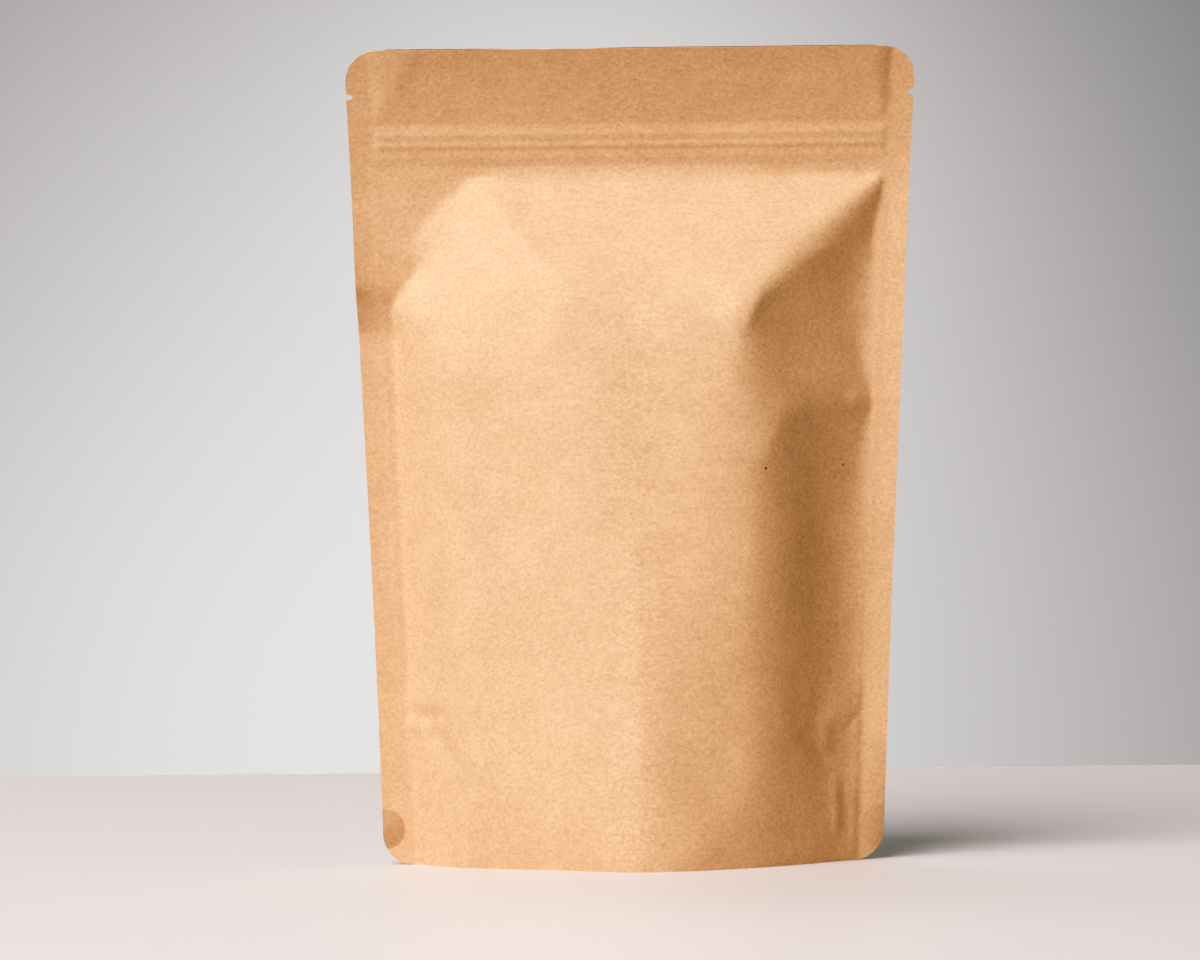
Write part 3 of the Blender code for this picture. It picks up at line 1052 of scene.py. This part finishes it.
    def top_lift(self, x: Array, z: Array) -> Array:
        """Return the share by which the back panel's top edge stands up behind the front's.

        It fades out at the rounded corners, and nearly so where the two plies touch.
        """
        sizes = self.sizes
        straight = sizes.top_half_width - sizes.top_corner_radius
        off_touch = (x - sizes.mouth_touch_x) / sizes.mouth_touch_width
        apart = 1.0 - sizes.mouth_touch * np.exp(-(off_touch**2))
        upwards = ease((z - sizes.height + sizes.top_corner_radius) / sizes.top_corner_radius)
        return upwards * ease((straight - np.abs(x)) / sizes.top_lift_blend) * apart

    def gusset_height(self, x: Array) -> Array:
        """Return the gusset's height: low in the middle, folded up towards the side seals."""
        sizes = self.sizes
        fold_half = sizes.half_width(np.array(sizes.gusset_fold)) - sizes.side_seal
        share = np.clip(np.abs(x) / fold_half, 0.0, 1.0)
        rise = (sizes.gusset_fold - sizes.gusset_clearance) * share**sizes.gusset_power
        return sizes.gusset_clearance + rise

    def add_panel(
        self, name: str, outer_y: Callable, higher: float, detail: PanelDetail,
        paper: Material, liner: Material,
    ) -> None:
        """Make one panel of the bag.

        Args:
            name: The piece's name.
            outer_y: Gives y of the panel's outer face from x and z.
            higher: How far its top edge stands above the mouth's corners.
            detail: How finely it is divided.
            paper: The outer finish.
            liner: The inner finish.
        """
        top = self.sizes.height - self.sizes.back_stands_higher
        heights = self.row_heights(detail, top)
        stations, x_at = self.column_place(detail, top)
        facing_back = outer_y == self.back_y

        def place(column: Array, row: Array) -> Points:
            """Return x, y and z of the panel's points."""
            z = heights[row]
            station = stations[len(stations) - 1 - column] if facing_back else stations[column]
            x = x_at(station, z)
            z = z + higher * self.top_lift(x, z)
            return x + self.sway(z), outer_y(x, z), z

        panel = placed_grid(name, len(stations) - 1, len(heights) - 1, place)
        make_sheet(panel, self.sizes.ply, paper, liner)
        self.keep(panel)

    def add_gusset(self, detail: GussetDetail, paper: Material, liner: Material) -> None:
        """Make the bottom gusset: flanges inside both skirts, and the folded floor between them.

        Args:
            detail: How finely it is divided, and its clearances.
            paper: The outer finish.
            liner: The inner finish.
        """
        sizes = self.sizes
        rows = 2 * detail.flange_rows + detail.floor_rows
        reach = sizes.base_half_width - sizes.side_seal - detail.from_seal
        behind_skirt = sizes.ply + detail.behind_skirt

        def place(column: Array, row: Array) -> Points:
            """Return x, y and z of the gusset's points."""
            x = reach * (2.0 * column / detail.columns - 1.0)
            top = self.gusset_height(x)
            up_front = np.clip(row / detail.flange_rows, 0.0, 1.0)
            across = np.clip((row - detail.flange_rows) / detail.floor_rows, 0.0, 1.0)
            up_back = np.clip((rows - row) / detail.flange_rows, 0.0, 1.0)
            edge = detail.above_table + (top - detail.above_table) * up_front * up_back
            near = self.front_y(x, edge) + behind_skirt
            far = self.back_y(x, edge) - behind_skirt
            half = np.maximum((far - near) / 2.0, detail.half_gap)
            y = (near + far) / 2.0 - half * np.cos(np.pi * across)
            sag = detail.sag * (top - sizes.gusset_clearance) * np.sin(np.pi * across)
            return x + self.sway(edge), y, edge - sag

        gusset = placed_grid("gusset_panel", detail.columns, rows, place)
        make_sheet(gusset, sizes.ply, paper, liner)
        self.keep(gusset)

    def keep(self, piece: Object) -> None:
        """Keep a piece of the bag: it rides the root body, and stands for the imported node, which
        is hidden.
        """
        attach(piece, "root")
        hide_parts(NODE)
        LOG.info("made %s with %d faces", piece.name, len(piece.data.polygons))

    def build(self) -> None:
        """Make the bag's pieces."""
        specks_and_painted_shade = list(self.specks)
        # Each spot seal's darkening goes into the paper's colour as painted shade.
        for spot in self.spot_seals:
            x = spot.middle(self.sizes) + self.sway(spot.height)
            specks_and_painted_shade.append(SpeckAndPaintedShade(x, spot.height, spot.radius, spot.shade))
        paper = kraft_material("kraft_paper", KraftFinish(), specks_and_painted_shade)
        liner = plain_material("foil_liner", FOIL_LINER)
        higher = self.sizes.back_stands_higher
        self.add_panel("front_panel", self.front_y, 0.0, PanelDetail(), paper, liner)
        self.add_panel("back_panel", self.back_y, higher, PanelDetail(), paper, liner)
        self.add_gusset(GussetDetail(), paper, liner)


# ---- Stage: table, wall, lights and camera ----


@dataclass(frozen=True)
class StageSizes:
    """Places and sizes on the stage, in metres."""

    table_width: float = 1.5
    table_front: float = -0.5
    table_back: float = 0.447
    table_thick: float = 0.04
    edge_round: float = 0.004
    edge_segments: int = 4
    wall_back: float = 2.2
    wall_thick: float = 0.05
    wall_width: float = 8.0
    wall_foot: float = -1.5
    wall_head: float = 4.0
    card_low: Triple = (-1.6, 0.98, 0.5)
    card_high: Triple = (2.0, 1.0, 1.7)


@dataclass(frozen=True)
class SoftLight:
    """A round soft light, aimed at a point, in metres and watts."""

    name: str
    place: Triple
    target: Triple
    size: float
    power: float
    colour: Triple = (1.0, 1.0, 1.0)

    def add(self) -> None:
        """Add the light."""
        lamp = added(bpy.ops.object.light_add, self.name, type="AREA", location=self.place)
        lamp.data.shape = "DISK"
        lamp.data.size = self.size
        lamp.data.energy = self.power
        lamp.data.color = self.colour
        aim = np.array(self.target) - np.array(self.place)
        yaw = math.atan2(aim[0], -aim[1])
        pitch = math.atan2(math.hypot(aim[0], aim[1]), -aim[2])
        lamp.rotation_euler = (pitch, 0.0, yaw + math.pi)


@dataclass(frozen=True)
class Lighting:
    """The lamps, and the even light of the room."""

    lamps: tuple[SoftLight, ...] = (
        SoftLight("key", (-1.38, -1.88, 2.2), (0.0, 0.0, 0.1), 2.7, 166.0, (1.0, 0.985, 0.96)),
        SoftLight("back_fill", (-0.3, 0.9, 1.5), (0.0, 0.1, 0.0), 1.0, 8.0),
        SoftLight("wall_wash", (-0.2, 1.2, -0.1), (-0.2, 2.2, 0.0), 0.5, 32.0),
        SoftLight("wall_halo", (0.0, 1.8, 0.4), (0.0, 2.2, 0.4), 0.2, 1.7),
    )
    room_colour: Triple = (0.95, 0.97, 1.0)
    room_strength: float = 0.115

    def add(self) -> None:
        """Add the lamps and the room's light."""
        for lamp in self.lamps:
            lamp.add()
        world = bpy.data.worlds.new("room")
        bpy.context.scene.world = world
        world.use_nodes = True
        background = world.node_tree.nodes["Background"]
        background.inputs["Color"].default_value = (*self.room_colour, 1.0)
        background.inputs["Strength"].default_value = self.room_strength


@dataclass(frozen=True)
class Viewpoint:
    """The camera, level and straight on, with a long lens."""

    across_mm: float = -10.1
    away_mm: float = 1400.0
    height_mm: float = 120.6
    lens_mm: float = 133.2
    roll_degrees: float = 0.6

    def add(self, seal_y: float) -> None:
        """Add the camera at its distance from the bag's seal plane."""
        place = (self.across_mm * MM, (seal_y - self.away_mm) * MM, self.height_mm * MM)
        camera = added(bpy.ops.object.camera_add, "Camera", location=place)
        camera.rotation_euler = (math.pi / 2, math.radians(self.roll_degrees), 0.0)
        camera.data.lens = self.lens_mm
        camera.data.sensor_width = 36.0
        camera.data.clip_end = 100.0
        bpy.context.scene.camera = camera


class Stage:
    """The white table top, the pale wall behind it, and a black card that shades the wall's top."""

    def __init__(self, sizes: StageSizes) -> None:
        """Keep the sizes."""
        self.sizes = sizes

    def add_box(self, name: str, low: tuple, high: tuple, finish: PlainFinish) -> Object:
        """Add a box between two corners, with its size applied."""
        middle = [(a + b) / 2 for a, b in zip(low, high)]
        box = added(bpy.ops.mesh.primitive_cube_add, name, size=1.0, location=middle)
        box.scale = [b - a for a, b in zip(low, high)]
        bpy.ops.object.transform_apply(location=True, rotation=True, scale=True)
        box.data.materials.append(plain_material(f"{name}_finish", finish))
        return box

    def add_table(self) -> None:
        """Add the table, with rounded edges."""
        sizes = self.sizes
        half = sizes.table_width / 2
        low = (-half, sizes.table_front, -sizes.table_thick)
        table = self.add_box("table", low, (half, sizes.table_back, 0.0), TABLE_WHITE)
        apply_modifier(table, "BEVEL", width=sizes.edge_round, segments=sizes.edge_segments)

    def add_wall(self) -> None:
        """Add the wall and its card."""
        sizes = self.sizes
        half = sizes.wall_width / 2
        low = (-half, sizes.wall_back, sizes.wall_foot)
        high = (half, sizes.wall_back + sizes.wall_thick, sizes.wall_head)
        self.add_box("wall", low, high, WALL_PALE)
        self.add_box("wall_card", sizes.card_low, sizes.card_high, CARD_BLACK)

    def build(self) -> None:
        """Make the table and the wall."""
        self.add_table()
        self.add_wall()
        LOG.info("made the stage")


@dataclass(frozen=True)
class Tone:
    """The picture's tone: a contrast curve with a deep toe and a soft shoulder.

    Small curves on green and blue, given as levels and how they are shown, keep the paper's hue.
    """

    toe: float = 0.88
    bend: float = 0.70
    stations: Floats = (0.06, 0.12, 0.2, 0.3, 0.42, 0.56, 0.72, 0.86)
    green_levels: Floats = (0.10, 0.19, 0.29, 0.56, 0.72)
    green_shown: Floats = (0.118, 0.197, 0.285, 0.542, 0.706)
    blue_levels: Floats = (0.03, 0.07, 0.13, 0.31, 0.45, 0.70)
    blue_shown: Floats = (0.041, 0.076, 0.132, 0.302, 0.437, 0.692)

    def level(self, light: float) -> float:
        """Return the shown level of a scene level, both from 0 to 1."""
        return math.exp(self.toe * (1.0 - light**-self.bend))

    def apply(self) -> None:
        """Set the scene's view transform and its curves: curve 3 is for all channels together."""
        view = bpy.context.scene.view_settings
        view.view_transform = "Standard"
        view.look = "None"
        view.use_curve_mapping = True
        for channel, levels, shown in (
            (3, self.stations, [self.level(station) for station in self.stations]),
            (1, self.green_levels, self.green_shown),
            (2, self.blue_levels, self.blue_shown),
        ):
            for place in zip(levels, shown):
                view.curve_mapping.curves[channel].points.new(*place)
        view.curve_mapping.update()


def main() -> None:
    """Make the bag and its stage, with the lights, the camera and the picture's tone."""
    pouch = Pouch(BagSizes.from_frame())
    pouch.build()
    Stage(StageSizes()).build()
    Lighting().add()
    Viewpoint().add(pouch.seal_y)
    Tone().apply()


if __name__ == "__main__":
    main()
